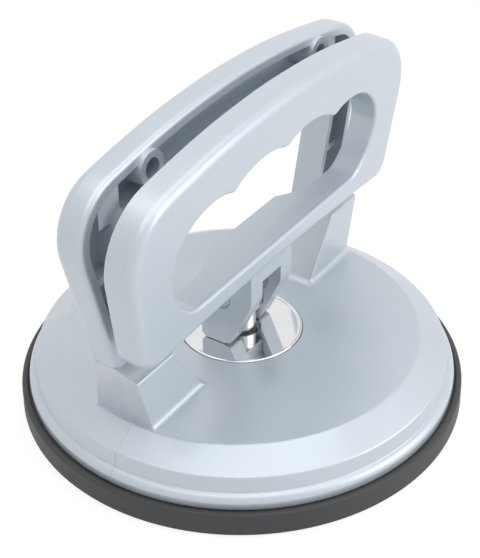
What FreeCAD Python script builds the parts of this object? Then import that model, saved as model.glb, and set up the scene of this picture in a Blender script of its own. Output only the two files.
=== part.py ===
import FreeCAD, Part
import Sketcher
import math
import os

from FreeCAD import Placement, Rotation, Vector

# Driving dimensions in millimetres and degrees, one named cell each
SIZES = {
    # Rubber pad: rim with its lip, thin web and moving middle
    "pad_lip_reach": 2.2,
    "pad_foot_flare": 0.2,
    "pad_lip_height": 6.7,
    "pad_lip_width": 1.4,
    "pad_seat_height": 6.2,
    "pad_foot_chamfer": 0.6,
    "pad_land_inset": 7.6,
    "pad_cavity_depth": 2.4,
    "pad_web_thickness": 2.8,
    "pad_cover": 2.8,
    "pad_flex_gap": 0.4,
    "pad_lip_gap": 0.4,
    "pad_skirt_gap": 0.4,
    "pad_cavity_inset": 13.6,
    "pad_cavity_draft": 0.3,
    # Base casting: stepped plate, revolved
    "flange_radius": 57.6,
    "flange_height": 3.0,
    "flange_bevel": 1.1,
    "flange_bevel_width": 1.7,
    "wall_draft": 0.8,
    "wall_height": 4.0,
    "top_bevel_width": 7.2,
    "top_height": 18.4,
    "plate_thickness": 3.6,
    "skirt_foot_width": 5.0,
    "skirt_lean": 2.6,
    "skirt_draft": 0.4,
    "hub_radius": 13.2,
    "hub_depth": 2.0,
    "web_count": 8,
    "web_thickness": 2.2,
    "web_depth": 3.0,
    "web_bite": 0.6,
    # Fixed grip arch and its feet
    "arch_depth": 8.2,
    "arch_wall": 3.0,
    "arch_back_wall": 2.4,
    "arch_crown": 92.2,
    "arch_crown_radius": 240.0,
    "arch_corner_radius": 14.5,
    "arch_shoulder_half": 63.4,
    "arch_foot_half": 46.6,
    "arch_window_top": 78.5,
    "arch_window_top_half": 47.6,
    "arch_window_side": 75.0,
    "root_height": 17.0,
    "channel_floor": 38.5,
    "arch_window_radius": 9.0,
    "foot_inner_half": 25.4,
    "flare_half": 37.2,
    "flare_height": 34.6,
    "foot_ledge_height": 37.4,
    "foot_front_height": 35.0,
    "foot_slope_height": 30.5,
    "foot_front": 5.65,
    "foot_back": 11.3,
    "foot_relief": 1.0,
    "boss_offset": 35.8,
    "boss_height": 84.0,
    "boss_radius": 4.6,
    "boss_hole_radius": 2.7,
    "boss_hole_depth": 5.5,
    "boss_stand": 1.2,
    "rib_thickness": 1.8,
    "rib_drop": 2.0,
    "leg_rib_low": 50.0,
    "leg_rib_high": 62.0,
    "corner_rib_inner": 44.0,
    "corner_rib_outer": 50.0,
    # Lever casting: leaning grip frame
    "lever_lean": 3.5,
    "lever_foot": 9.4,
    "lever_depth": 7.6,
    "lever_wall": 3.0,
    "lever_front_wall": 2.6,
    "lever_crown": 91.2,
    "lever_crown_radius": 233.0,
    "lever_shoulder_half": 62.9,
    "lever_corner_radius": 17.0,
    "lever_foot_half": 55.5,
    "lever_foot_radius": 9.0,
    "lever_bar_low": 42.0,
    "lever_bow": 2.0,
    "lever_bar_top": 50.2,
    "window_foot_half": 37.6,
    "window_foot_radius": 4.5,
    "window_side_radius": 26.0,
    "window_shoulder_radius": 4.0,
    "window_top_half": 45.6,
    "window_side_height": 68.4,
    "window_end_half": 40.0,
    "window_end_height": 73.6,
    "grip_pitch": 22.4,
    "grip_cusp_mid": 76.5,
    "grip_cusp_side": 75.0,
    "grip_lobe_inner": 78.6,
    "grip_cusp_radius": 1.5,
    "scallop_inner_radius": 24.1,
    "scallop_outer_radius": 19.2,
    "hollow_floor": 53.0,
    "hollow_foot_step": 2.4,
    # Fork with its cam heels
    "fork_half": 9.5,
    "fork_relief": 2.0,
    "nose_radius": 6.0,
    "fork_front": 9.6,
    "fork_back": 6.1,
    "fork_top": 46.0,
    "fork_top_back": 4.0,
    "slot_clearance": 0.35,
    "slot_top": 38.6,
    "nose_height": 33.6,
    "heel_front": 2.9,
    "heel_flat_front": 0.7,
    "heel_lift": 0.7,
    "heel_back_chamfer": 1.0,
    "heel_gap": 0.2,
    # Pin, stud and what hangs on it
    "pin_height": 32.5,
    "pin_radius": 3.0,
    "pin_recess": 0.3,
    "pin_clearance": 0.06,
    "eye_radius": 5.4,
    "eye_half": 4.0,
    "shank_radius": 4.0,
    "shank_clearance": 0.4,
    "shank_top": 26.0,
    "head_radius": 9.0,
    "head_height": 1.8,
    "head_clearance": 0.2,
    "plate_height": 5.6,
    "plate_radius": 33.6,
    "steel_thickness": 2.0,
    "plate_bore_clearance": 0.1,
    "washer_radius": 8.0,
    "washer_thickness": 1.0,
    "nut_flats": 13.0,
    "nut_height": 3.0,
    "seat_radius": 12.6,
    "seat_thickness": 1.0,
    "spring_wire": 1.4,
    "spring_big_radius": 12.8,
    "spring_small_radius": 10.4,
    "spring_turns": 2.0,
    "spring_gap": 0.05,
    # Wear dish
    "dish_radius": 16.5,
    "dish_thickness": 1.9,
    "dish_sink": 0.1,
    "dish_bead_width": 0.9,
    "dish_bead_height": 0.35,
    "dish_clearance": 0.1,
    "dish_bore_radius": 5.2,
    # Edge rounding
    "edge_arch_back": 3.0,
    "edge_lever_front": 3.0,
    "edge_pin": 0.5,
}

doc = FreeCAD.newDocument("SuctionLifter")
sheet = doc.addObject("Spreadsheet::Sheet", "Sizes")
for row, (alias, number) in enumerate(SIZES.items(), start=1):
    sheet.set(f"A{row}", alias)
    sheet.set(f"B{row}", str(number))
    sheet.setAlias(f"B{row}", alias)
doc.recompute()


def bound(text):
    """Write a formula with the sheet's name before each of its cells."""
    words = []
    word = ""
    for letter in text + " ":
        if letter.isalnum() or letter == "_":
            word += letter
            continue
        words.append("Sizes." + word if word in SIZES else word)
        words.append(letter)
        word = ""
    return "".join(words).strip()


def size(text):
    """The value of a formula over the sheet's cells."""
    value = sheet.evalExpression(bound(text))
    return float(getattr(value, "Value", value))


def new_body(label):
    """An empty body with its own label."""
    body = doc.addObject("PartDesign::Body", label)
    body.Label = label
    return body


def origin_item(body, role):
    """One of the planes or axes of the body's own origin."""
    return next(item for item in body.Origin.OriginFeatures if item.Role == role)


def new_sketch(body, name, role, offset=None, lean=None):
    """A sketch on an origin plane, moved along its normal and leaned about its own X."""
    sketch = body.newObject("Sketcher::SketchObject", name)
    sketch.AttachmentSupport = [(origin_item(body, role), "")]
    sketch.MapMode = "FlatFace"
    if lean:
        sketch.AttachmentOffset = Placement(Vector(0, 0, size(offset)), Rotation(Vector(1, 0, 0), size(lean)))
        sketch.setExpression("AttachmentOffset.Rotation.Angle", bound(lean))
    if offset:
        sketch.setExpression("AttachmentOffset.Base.z", bound(offset))
    return sketch


def hold_point(sketch, index, end, across, up):
    """Hold the end of one curve at a place given by two formulas."""
    for kind, axis, text in (("DistanceX", -2, across), ("DistanceY", -1, up)):
        if text == "0":
            sketch.addConstraint(Sketcher.Constraint("PointOnObject", index, end, axis))
            continue
        number = sketch.addConstraint(Sketcher.Constraint(kind, -1, 1, index, end, size(text)))
        sketch.setExpression(f"Constraints[{number}]", bound(text))


def draw_outline(sketch, corners, symmetric=False, closing=()):
    """A closed outline; a third value on a corner is the radius of an arc to the next corner.

    An arc bulges to the right of the walk, or to the left with a fourth value of -1.
    A symmetric outline gives its right half, and its mirror image follows; closing is the arc
    from the last mirrored corner back to the first one.
    """
    first = sketch.GeometryCount
    points = [Vector(size(corner[0]), size(corner[1]), 0) for corner in corners]
    arcs = [corner[2:] for corner in corners]
    if symmetric:
        points += [Vector(-point.x, point.y, 0) for point in reversed(points)]
        arcs += arcs[-2::-1] + [closing]
    count = len(points)
    starts = []
    for place, (start, arc) in enumerate(zip(points, arcs)):
        end = points[(place + 1) % count]
        if not arc:
            sketch.addGeometry(Part.LineSegment(start, end), False)
            starts.append(1)
            continue
        radius = size(arc[0])
        side = arc[1] if len(arc) > 1 else 1
        chord = end - start
        rise = radius - math.sqrt(radius ** 2 - (chord.Length / 2) ** 2)
        outward = Vector(chord.y, -chord.x, 0).normalize() * rise * side
        middle = (start + end) * 0.5 + outward
        counter = Part.Arc(start, middle, end) if side > 0 else Part.Arc(end, middle, start)
        sketch.addGeometry(counter, False)
        starts.append(1 if side > 0 else 2)
    for place in range(count):
        after = (place + 1) % count
        sketch.addConstraint(Sketcher.Constraint(
            "Coincident", first + place, 3 - starts[place], first + after, starts[after]))
    for place, corner in enumerate(corners):
        hold_point(sketch, first + place, starts[place], corner[0], corner[1])
        if symmetric:
            twin = count - 1 - place
            sketch.addConstraint(Sketcher.Constraint(
                "Symmetric", first + place, starts[place], first + twin, starts[twin], -2))
    for place, arc in enumerate(arcs):
        if arc:
            number = sketch.addConstraint(Sketcher.Constraint("Radius", first + place, size(arc[0])))
            sketch.setExpression(f"Constraints[{number}]", bound(arc[0]))


def draw_circle(sketch, across, up, radius):
    """A circle held by its centre and radius."""
    centre = Vector(size(across), size(up), 0)
    index = sketch.addGeometry(Part.Circle(centre, Vector(0, 0, 1), size(radius)), False)
    hold_point(sketch, index, 3, across, up)
    number = sketch.addConstraint(Sketcher.Constraint("Radius", index, size(radius)))
    sketch.setExpression(f"Constraints[{number}]", bound(radius))


def extrude(body, sketch, name, length, kind="Pad", back=False, centred=False):
    """Pad or pocket a sketch by a length and check that the volume changed the right way."""
    before = body.Shape.Volume if body.Tip else 0.0
    feature = body.newObject("PartDesign::" + kind, name)
    feature.Profile = sketch
    feature.Reversed = back
    if centred:
        feature.SideType = "Symmetric"
    feature.setExpression("Length", bound(length))
    doc.recompute()
    grown = body.Shape.Volume - before
    if grown * (1 if kind == "Pad" else -1) <= 0:
        raise ValueError(f"{name} changed the volume by {grown:.2f}")
    return feature


def revolve(body, sketch, name):
    """A full turn of a half section about the vertical axis."""
    feature = body.newObject("PartDesign::Revolution", name)
    feature.Profile = sketch
    feature.ReferenceAxis = (sketch, ["V_Axis"])
    feature.Angle = 360
    doc.recompute()
    return feature


def round_edges(body, name, radius, wanted):
    """Fillet the edges of the tip that a test picks."""
    tip = body.Tip
    names = [f"Edge{n}" for n, edge in enumerate(tip.Shape.Edges, start=1) if wanted(edge)]
    if not names:
        raise ValueError(f"{name} found no edge")
    feature = body.newObject("PartDesign::Fillet", name)
    feature.Base = (tip, names)
    feature.setExpression("Radius", bound(radius))
    doc.recompute()
    return feature


def runs_along(edge, direction):
    """True for a straight edge parallel to a direction."""
    if not isinstance(edge.Curve, Part.Line):
        return False
    return abs(edge.tangentAt(edge.FirstParameter).dot(direction)) > 0.9999


# How far from its expected place an edge is still picked
REACH = 0.6


def near(edge, across, up):
    """True for an edge whose middle lies near a place in the XZ plane."""
    middle = edge.valueAt((edge.FirstParameter + edge.LastParameter) / 2)
    return abs(abs(middle.x) - across) < REACH and abs(middle.z - up) < REACH


# Heights and slopes that follow from the driving dimensions
FLANGE_TOP = "(pad_seat_height + flange_height)"
WALL_FOOT = "(pad_seat_height + flange_height + flange_bevel)"
WALL_TOP = "(pad_seat_height + flange_height + flange_bevel + wall_height)"
WALL_FOOT_OUT = "(flange_radius - flange_bevel_width)"
WALL_TOP_OUT = "(flange_radius - flange_bevel_width - wall_draft)"
TOP_OUT = "(flange_radius - flange_bevel_width - wall_draft - top_bevel_width)"
PAD_TOP_OUT = "(flange_radius + pad_lip_reach)"
PAD_FOOT_OUT = "(flange_radius + pad_lip_reach + pad_foot_flare)"
PAD_SPLIT = "(plate_radius + pad_cover)"
CEILING = "(top_height - plate_thickness)"
HUB_FOOT = "(top_height - plate_thickness - hub_depth)"
SEAT_FOOT = "(top_height - plate_thickness - hub_depth - seat_thickness)"
DISH_FACE = "(top_height - dish_sink)"
DISH_FLOOR = "(top_height - dish_sink - dish_thickness)"
PLATE_TOP = "(plate_height + steel_thickness)"
WASHER_TOP = "(plate_height + steel_thickness + washer_thickness)"
HEAD_FOOT = "(plate_height - head_height)"
HEEL = "(top_height - dish_sink + heel_gap)"


def crown_at(crown, radius, half):
    """Height of a crowned edge at a distance from the middle."""
    return f"({crown} - {radius} + sqrt(({radius})^2 - ({half})^2))"


ARCH_SHOULDER = crown_at("arch_crown", "arch_crown_radius", "arch_shoulder_half")
ARCH_SLOPE = f"((arch_shoulder_half - arch_foot_half) / ({ARCH_SHOULDER} - root_height))"
LEG_SLOPE = "((arch_window_top_half - flare_half) / (arch_window_side - flare_height))"
LEVER_SHOULDER = crown_at("lever_crown", "lever_crown_radius", "lever_shoulder_half")
BOW_RADIUS = "((lever_foot_half^2 + lever_bow^2) / (2 * lever_bow))"


def arch_outer(height):
    """Half width over the arch's sides at a height."""
    return f"(arch_foot_half + {ARCH_SLOPE} * ({height} - root_height))"


def arch_inner(height):
    """Half width between the arch's legs at a height."""
    return f"(flare_half + {LEG_SLOPE} * ({height} - flare_height))"


# Base casting: the grip arch first, so that its edges are rounded before the rest joins it
casting = new_body("base_casting")
sketch = new_sketch(casting, "arch_outline", "XZ_Plane")
ARCH_BAR = "(arch_crown - arch_window_top)"
WINDOW_CORNER = crown_at("arch_window_top", f"(arch_crown_radius - {ARCH_BAR})", "arch_window_top_half")
draw_outline(sketch, [
    ("arch_window_top_half", WINDOW_CORNER),
    ("flare_half", "flare_height"),
    ("foot_inner_half", "root_height"),
    ("arch_foot_half", "root_height"),
    ("arch_shoulder_half", ARCH_SHOULDER, "arch_crown_radius"),
], symmetric=True, closing=(f"(arch_crown_radius - {ARCH_BAR})", -1))
extrude(casting, sketch, "arch", "arch_depth", back=True)
ALONG_Y = Vector(0, 1, 0)

# Hollow of the arch, open to the lever, with a wall all round it
sketch = new_sketch(casting, "channel_outline", "XZ_Plane")
CHANNEL_CROWN = "(arch_crown - arch_wall)"
CHANNEL_RADIUS = "(arch_crown_radius - arch_wall)"
CHANNEL_HALF = "(arch_shoulder_half - arch_wall)"
INNER_TOP = "(arch_window_top + arch_wall)"
INNER_RADIUS = f"(arch_crown_radius - {ARCH_BAR} + arch_wall)"
INNER_HALF = "(arch_window_top_half + arch_wall)"
draw_outline(sketch, [
    (INNER_HALF, crown_at(INNER_TOP, INNER_RADIUS, INNER_HALF)),
    (f"({arch_inner('channel_floor')} + arch_wall)", "channel_floor"),
    (f"({arch_outer('channel_floor')} - arch_wall)", "channel_floor"),
    (CHANNEL_HALF, crown_at(CHANNEL_CROWN, CHANNEL_RADIUS, CHANNEL_HALF), CHANNEL_RADIUS),
], symmetric=True, closing=(INNER_RADIUS, -1))
extrude(casting, sketch, "channel", "arch_depth - arch_back_wall", kind="Pocket")
round_edges(casting, "channel_corners", "arch_corner_radius - arch_wall",
            lambda edge: runs_along(edge, ALONG_Y)
            and near(edge, size(CHANNEL_HALF), size(crown_at(CHANNEL_CROWN, CHANNEL_RADIUS, CHANNEL_HALF))))

# Rounded corners and back of the arch
round_edges(casting, "arch_corners", "arch_corner_radius", lambda edge: runs_along(edge, ALONG_Y)
            and near(edge, size("arch_shoulder_half"), size(ARCH_SHOULDER)))
round_edges(casting, "arch_window_corners", "arch_window_radius", lambda edge: runs_along(edge, ALONG_Y)
            and near(edge, size("arch_window_top_half"), size(WINDOW_CORNER)))


def outside_arch(edge):
    """True for an edge on the arch's outer outline."""
    middle = edge.valueAt((edge.FirstParameter + edge.LastParameter) / 2)
    if middle.z < size("root_height") + 0.1:
        return False
    outer = size(arch_outer(str(middle.z)))
    high = size(crown_at("arch_crown", "arch_crown_radius", str(abs(middle.x))))
    reach = size("arch_corner_radius") * 0.45
    return abs(middle.x) > outer - reach or middle.z > high - reach


def at_depth(edge, depth):
    """True for an edge that lies in a plane of constant Y."""
    return edge.BoundBox.YMin > depth - 0.01 and edge.BoundBox.YMax < depth + 0.01


round_edges(casting, "arch_back_round", "edge_arch_back",
            lambda edge: at_depth(edge, size("arch_depth")) and outside_arch(edge))

# Cross ribs of the arch, let in below its rim
sketch = new_sketch(casting, "arch_ribs", "XZ_Plane", offset="-(rib_drop)")
for height in ("leg_rib_low", "leg_rib_high"):
    low = f"({height} - rib_thickness / 2)"
    high = f"({height} + rib_thickness / 2)"
    for sign in ("", "-"):
        inner = f"{sign}({arch_inner(height)} + arch_wall / 2)"
        outer = f"{sign}({arch_outer(height)} - arch_wall / 2)"
        draw_outline(sketch, [(inner, low), (outer, low), (outer, high), (inner, high)])
for offset in ("corner_rib_inner", "corner_rib_outer"):
    low = "(arch_window_top - arch_wall / 2)"
    high = crown_at("(arch_crown - arch_wall / 2)", "arch_crown_radius", offset)
    for sign in ("", "-"):
        left = f"{sign}({offset} - rib_thickness / 2)"
        right = f"{sign}({offset} + rib_thickness / 2)"
        draw_outline(sketch, [(left, low), (right, low), (right, high), (left, high)])
extrude(casting, sketch, "arch_rib_pads", "arch_depth - arch_back_wall / 2 - rib_drop", back=True)

# Stop bosses of the arch with their blind holes
sketch = new_sketch(casting, "boss_outline", "XZ_Plane", offset="boss_stand")
for sign in ("", "-"):
    draw_circle(sketch, sign + "boss_offset", "boss_height", "boss_radius")
extrude(casting, sketch, "bosses", "boss_stand + arch_depth - arch_back_wall / 2", back=True)
sketch = new_sketch(casting, "boss_holes_outline", "XZ_Plane", offset="boss_stand")
for sign in ("", "-"):
    draw_circle(sketch, sign + "boss_offset", "boss_height", "boss_hole_radius")
extrude(casting, sketch, "boss_holes", "boss_hole_depth", kind="Pocket")

# Stepped round plate with its skirt, hub and recess for the wear dish
sketch = new_sketch(casting, "plate_section", "XZ_Plane")
RECESS = "(dish_radius + dish_clearance)"
BORE = "(shank_radius + shank_clearance)"
draw_outline(sketch, [
    ("flange_radius", "pad_seat_height"),
    ("flange_radius", FLANGE_TOP),
    (WALL_FOOT_OUT, WALL_FOOT),
    (WALL_TOP_OUT, WALL_TOP),
    (TOP_OUT, "top_height"),
    (RECESS, "top_height"),
    (RECESS, DISH_FLOOR),
    (BORE, DISH_FLOOR),
    (BORE, HUB_FOOT),
    ("hub_radius", HUB_FOOT),
    ("hub_radius", CEILING),
    (f"({TOP_OUT} - skirt_lean)", CEILING),
    ("(flange_radius - skirt_foot_width - skirt_draft)", f"({CEILING} - skirt_lean)"),
    ("(flange_radius - skirt_foot_width)", "pad_seat_height"),
])
revolve(casting, sketch, "plate")

# Radial webs under the plate
sketch = new_sketch(casting, "web_outline", "XY_Plane", offset=f"{CEILING} - web_depth")
draw_outline(sketch, [
    ("(hub_radius - web_bite)", "-(web_thickness / 2)"),
    ("(flange_radius - skirt_foot_width + web_bite)", "-(web_thickness / 2)"),
    ("(flange_radius - skirt_foot_width + web_bite)", "(web_thickness / 2)"),
    ("(hub_radius - web_bite)", "(web_thickness / 2)"),
])
web = extrude(casting, sketch, "web", "web_depth + web_bite")
webs = casting.newObject("PartDesign::PolarPattern", "webs")
webs.Originals = [web]
webs.Axis = (sketch, ["N_Axis"])
webs.Angle = 360
webs.Occurrences = int(size("web_count"))
webs.setExpression("Occurrences", bound("web_count"))
casting.Tip = webs
doc.recompute()

# Feet of the arch: blocks with a sloping ledge in front and a sloping back
sketch = new_sketch(casting, "feet_outline", "XZ_Plane", offset="foot_front")
for sign in ("", "-"):
    draw_outline(sketch, [
        (sign + "foot_inner_half", "root_height"),
        (sign + "arch_foot_half", "root_height"),
        (f"{sign}({arch_outer('foot_ledge_height')})", "foot_ledge_height"),
        (f"{sign}({arch_inner('foot_ledge_height')})", "foot_ledge_height"),
        (sign + "flare_half", "flare_height"),
    ])
extrude(casting, sketch, "feet", "foot_front + foot_back", back=True)
sketch = new_sketch(casting, "foot_slope_outline", "YZ_Plane")
draw_outline(sketch, [
    ("foot_back", "top_height"),
    ("(foot_back + foot_relief)", "top_height"),
    ("(foot_back + foot_relief)", "(foot_ledge_height + foot_relief)"),
    ("arch_depth", "(foot_ledge_height + foot_relief)"),
    ("arch_depth", "foot_slope_height"),
])
draw_outline(sketch, [
    ("0", "foot_ledge_height"),
    ("-(foot_front)", "foot_front_height"),
    ("-(foot_front + foot_relief)", "foot_front_height"),
    ("-(foot_front + foot_relief)", "(foot_ledge_height + foot_relief)"),
    ("0", "(foot_ledge_height + foot_relief)"),
])
extrude(casting, sketch, "foot_slopes", "2 * arch_shoulder_half", kind="Pocket", centred=True)

# Lever casting: leaning grip frame
lever = new_body("lever_casting")
sketch = new_sketch(lever, "lever_outline", "XZ_Plane", offset="lever_foot", lean="lever_lean")
draw_outline(sketch, [
    ("lever_foot_half", "lever_bar_low"),
    ("lever_shoulder_half", LEVER_SHOULDER, "lever_crown_radius"),
], symmetric=True, closing=(BOW_RADIUS, -1))
extrude(lever, sketch, "lever_frame", "lever_depth", back=True)
LEAN = math.radians(size("lever_lean"))
ACROSS = Vector(0, math.cos(LEAN), math.sin(LEAN))


def in_lever(edge):
    """Middle of an edge as half width, height along the lever and depth behind its front plane."""
    middle = edge.valueAt((edge.FirstParameter + edge.LastParameter) / 2)
    along = middle.z * math.cos(LEAN) - middle.y * math.sin(LEAN)
    behind = middle.y * math.cos(LEAN) + middle.z * math.sin(LEAN) + size("lever_foot")
    return abs(middle.x), along, behind


def lever_corner(edge, across, up):
    """True for an edge through the lever's thickness near a place in its plane."""
    place = in_lever(edge)
    return runs_along(edge, ACROSS) and abs(place[0] - across) < REACH and abs(place[1] - up) < REACH


# Hollow of the lever's grip and sides, open to the arch
sketch = new_sketch(lever, "hollow_outline", "XZ_Plane", offset="lever_foot - lever_depth", lean="lever_lean")
HOLLOW_TOP = "(grip_lobe_inner + lever_wall)"
HOLLOW_RADIUS = "(lever_crown_radius - lever_crown + grip_lobe_inner + lever_wall)"
HOLLOW_HALF = "(window_top_half + lever_wall)"
LEVER_OUT = "(lever_shoulder_half - lever_wall)"
LEVER_SLOPE = f"((lever_shoulder_half - lever_foot_half) / ({LEVER_SHOULDER} - lever_bar_low))"
OUTER_CROWN = "(lever_crown - lever_wall)"
OUTER_RADIUS = "(lever_crown_radius - lever_wall)"
draw_outline(sketch, [
    (HOLLOW_HALF, crown_at(HOLLOW_TOP, HOLLOW_RADIUS, HOLLOW_HALF)),
    (HOLLOW_HALF, "window_side_height", "window_side_radius", -1),
    ("(window_foot_half + hollow_foot_step + lever_wall)", "hollow_floor"),
    (f"(lever_foot_half + {LEVER_SLOPE} * (hollow_floor - lever_bar_low) - lever_wall)", "hollow_floor"),
    (LEVER_OUT, crown_at(OUTER_CROWN, OUTER_RADIUS, LEVER_OUT), OUTER_RADIUS),
], symmetric=True, closing=(HOLLOW_RADIUS, -1))
extrude(lever, sketch, "hollow", "lever_depth - lever_front_wall", kind="Pocket", back=True)
HOLLOW_SHOULDER = crown_at(OUTER_CROWN, OUTER_RADIUS, LEVER_OUT)
round_edges(lever, "hollow_corners", "lever_corner_radius - lever_wall",
            lambda edge: lever_corner(edge, size(LEVER_OUT), size(HOLLOW_SHOULDER)))

# Rounded corners and front of the lever
round_edges(lever, "lever_corners", "lever_corner_radius",
            lambda edge: lever_corner(edge, size("lever_shoulder_half"), size(LEVER_SHOULDER)))
round_edges(lever, "lever_feet", "lever_foot_radius",
            lambda edge: lever_corner(edge, size("lever_foot_half"), size("lever_bar_low")))
round_edges(lever, "lever_front_round", "edge_lever_front", lambda edge: abs(in_lever(edge)[2]) < 0.02)

# Hand window with four finger scallops along its upper side
sketch = new_sketch(lever, "window_outline", "XZ_Plane", offset="lever_foot", lean="lever_lean")
draw_outline(sketch, [
    ("window_foot_half", "lever_bar_top", "window_side_radius"),
    ("window_top_half", "window_side_height"),
    ("window_end_half", "window_end_height", "scallop_outer_radius"),
    ("grip_pitch", "grip_cusp_side", "scallop_inner_radius"),
    ("0", "grip_cusp_mid", "scallop_inner_radius"),
    ("-(grip_pitch)", "grip_cusp_side", "scallop_outer_radius"),
    ("-(window_end_half)", "window_end_height"),
    ("-(window_top_half)", "window_side_height", "window_side_radius"),
    ("-(window_foot_half)", "lever_bar_top"),
])
extrude(lever, sketch, "window", "lever_depth", kind="Pocket")
round_edges(lever, "window_feet", "window_foot_radius",
            lambda edge: lever_corner(edge, size("window_foot_half"), size("lever_bar_top")))
round_edges(lever, "window_shoulders", "window_shoulder_radius",
            lambda edge: lever_corner(edge, size("window_top_half"), size("window_side_height"))
            or lever_corner(edge, size("window_end_half"), size("window_end_height")))
round_edges(lever, "grip_cusps", "grip_cusp_radius",
            lambda edge: lever_corner(edge, 0, size("grip_cusp_mid"))
            or lever_corner(edge, size("grip_pitch"), size("grip_cusp_side")))

# Fork with its cam heels under the lower bar
sketch = new_sketch(lever, "fork_profile", "YZ_Plane")
draw_outline(sketch, [
    ("-(fork_front)", "fork_top"),
    ("-(fork_front)", "nose_height"),
    ("-(heel_front)", f"({HEEL} + heel_lift)"),
    ("-(heel_flat_front)", HEEL),
    ("(fork_back - heel_back_chamfer)", HEEL),
    ("fork_back", f"({HEEL} + heel_back_chamfer)"),
    ("fork_back", "pin_height"),
    ("fork_top_back", "fork_top"),
])
extrude(lever, sketch, "fork", "2 * fork_half", centred=True)
round_edges(lever, "fork_nose", "nose_radius", lambda edge: runs_along(edge, Vector(1, 0, 0))
            and abs(edge.BoundBox.YMin + size("fork_front")) < 0.05
            and abs(edge.BoundBox.ZMin - size("nose_height")) < 0.05)
sketch = new_sketch(lever, "slot_outline", "XZ_Plane", offset="fork_front + fork_relief")
SLOT_HALF = "(eye_half + slot_clearance)"
draw_outline(sketch, [(SLOT_HALF, "top_height"), (SLOT_HALF, "slot_top")], symmetric=True)
extrude(lever, sketch, "slot", "fork_front + fork_back + 2 * fork_relief", kind="Pocket")
sketch = new_sketch(lever, "pin_hole_outline", "YZ_Plane")
draw_circle(sketch, "0", "pin_height", "pin_radius")
extrude(lever, sketch, "pin_hole", "2 * fork_half", kind="Pocket", centred=True)

# Pivot pin, pressed in the fork
pin = new_body("pivot_pin")
sketch = new_sketch(pin, "pin_outline", "YZ_Plane")
draw_circle(sketch, "0", "pin_height", "pin_radius")
extrude(pin, sketch, "pin", "2 * (fork_half - pin_recess)", centred=True)
blank = pin.Tip
chamfer = pin.newObject("PartDesign::Chamfer", "pin_ends")
chamfer.Base = (blank, [f"Edge{n}" for n, edge in enumerate(blank.Shape.Edges, start=1)
                        if isinstance(edge.Curve, Part.Circle)])
chamfer.setExpression("Size", bound("edge_pin"))
doc.recompute()

# Draw stud: head, shank and the eye that the pin passes through
stud = new_body("draw_stud")
sketch = new_sketch(stud, "stud_section", "XZ_Plane")
draw_outline(sketch, [
    ("0", HEAD_FOOT),
    ("head_radius", HEAD_FOOT),
    ("head_radius", "plate_height"),
    ("shank_radius", "plate_height"),
    ("shank_radius", "shank_top"),
    ("0", "shank_top"),
])
revolve(stud, sketch, "shank")
sketch = new_sketch(stud, "neck_outline", "YZ_Plane")
draw_outline(sketch, [
    ("-(eye_half)", "(shank_top - eye_half / 2)"),
    ("eye_half", "(shank_top - eye_half / 2)"),
    ("eye_half", "pin_height"),
    ("-(eye_half)", "pin_height"),
])
extrude(stud, sketch, "neck", "2 * eye_half", centred=True)
sketch = new_sketch(stud, "eye_outline", "YZ_Plane")
draw_circle(sketch, "0", "pin_height", "eye_radius")
extrude(stud, sketch, "eye", "2 * eye_half", centred=True)
sketch = new_sketch(stud, "eye_hole_outline", "YZ_Plane")
draw_circle(sketch, "0", "pin_height", "(pin_radius + pin_clearance)")
extrude(stud, sketch, "eye_hole", "2 * eye_half", kind="Pocket", centred=True)

# Wear dish: flat polished ring with a bead round its rim
dish = new_body("wear_dish")
sketch = new_sketch(dish, "dish_section", "XZ_Plane")
BEAD_TOP = f"({DISH_FACE} + dish_bead_height)"
draw_outline(sketch, [
    ("dish_bore_radius", DISH_FLOOR),
    ("dish_radius", DISH_FLOOR),
    ("dish_radius", f"({DISH_FACE} + dish_bead_height / 2)"),
    ("(dish_radius - dish_bead_width / 3)", BEAD_TOP),
    ("(dish_radius - dish_bead_width * 2 / 3)", BEAD_TOP),
    ("(dish_radius - dish_bead_width)", DISH_FACE),
    ("dish_bore_radius", DISH_FACE),
])
revolve(dish, sketch, "dish_ring")

# Rubber pad: rim with its lips and thin web
rim = new_body("suction_pad")
sketch = new_sketch(rim, "rim_section", "XZ_Plane")
LIP_FOOT = "(flange_radius + pad_lip_gap)"
SKIRT = "(flange_radius - skirt_foot_width - pad_skirt_gap)"
draw_outline(sketch, [
    ("(flange_radius - pad_land_inset)", "0"),
    (f"({PAD_FOOT_OUT} - pad_foot_chamfer)", "0"),
    (PAD_FOOT_OUT, "pad_foot_chamfer"),
    (PAD_TOP_OUT, "pad_lip_height"),
    (f"({PAD_TOP_OUT} - pad_lip_width)", "pad_lip_height"),
    (LIP_FOOT, "pad_seat_height"),
    (SKIRT, "pad_seat_height"),
    (f"({PAD_SPLIT} + pad_flex_gap)", "(pad_cavity_depth + pad_web_thickness)"),
    (f"({PAD_SPLIT} + pad_flex_gap)", "pad_cavity_depth"),
    ("(flange_radius - pad_cavity_inset)", "(pad_cavity_depth - pad_cavity_draft)"),
])
revolve(rim, sketch, "rim")

# Moving middle of the rubber pad, moulded on the pull plate and the stud's head
middle = new_body("pad_centre")
sketch = new_sketch(middle, "middle_section", "XZ_Plane")
POCKET = "(head_radius + head_clearance)"
draw_outline(sketch, [
    ("0", "pad_cavity_depth"),
    (PAD_SPLIT, "pad_cavity_depth"),
    (PAD_SPLIT, "plate_height"),
    (POCKET, "plate_height"),
    (POCKET, f"({HEAD_FOOT} - head_clearance)"),
    ("0", f"({HEAD_FOOT} - head_clearance)"),
])
revolve(middle, sketch, "middle")


def ring(label, inner, outer, low, high):
    """A flat ring as a body of its own."""
    body = new_body(label)
    section = new_sketch(body, label + "_section", "XZ_Plane")
    draw_outline(section, [(inner, low), (outer, low), (outer, high), (inner, high)])
    revolve(body, section, label + "_ring")
    return body


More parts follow.
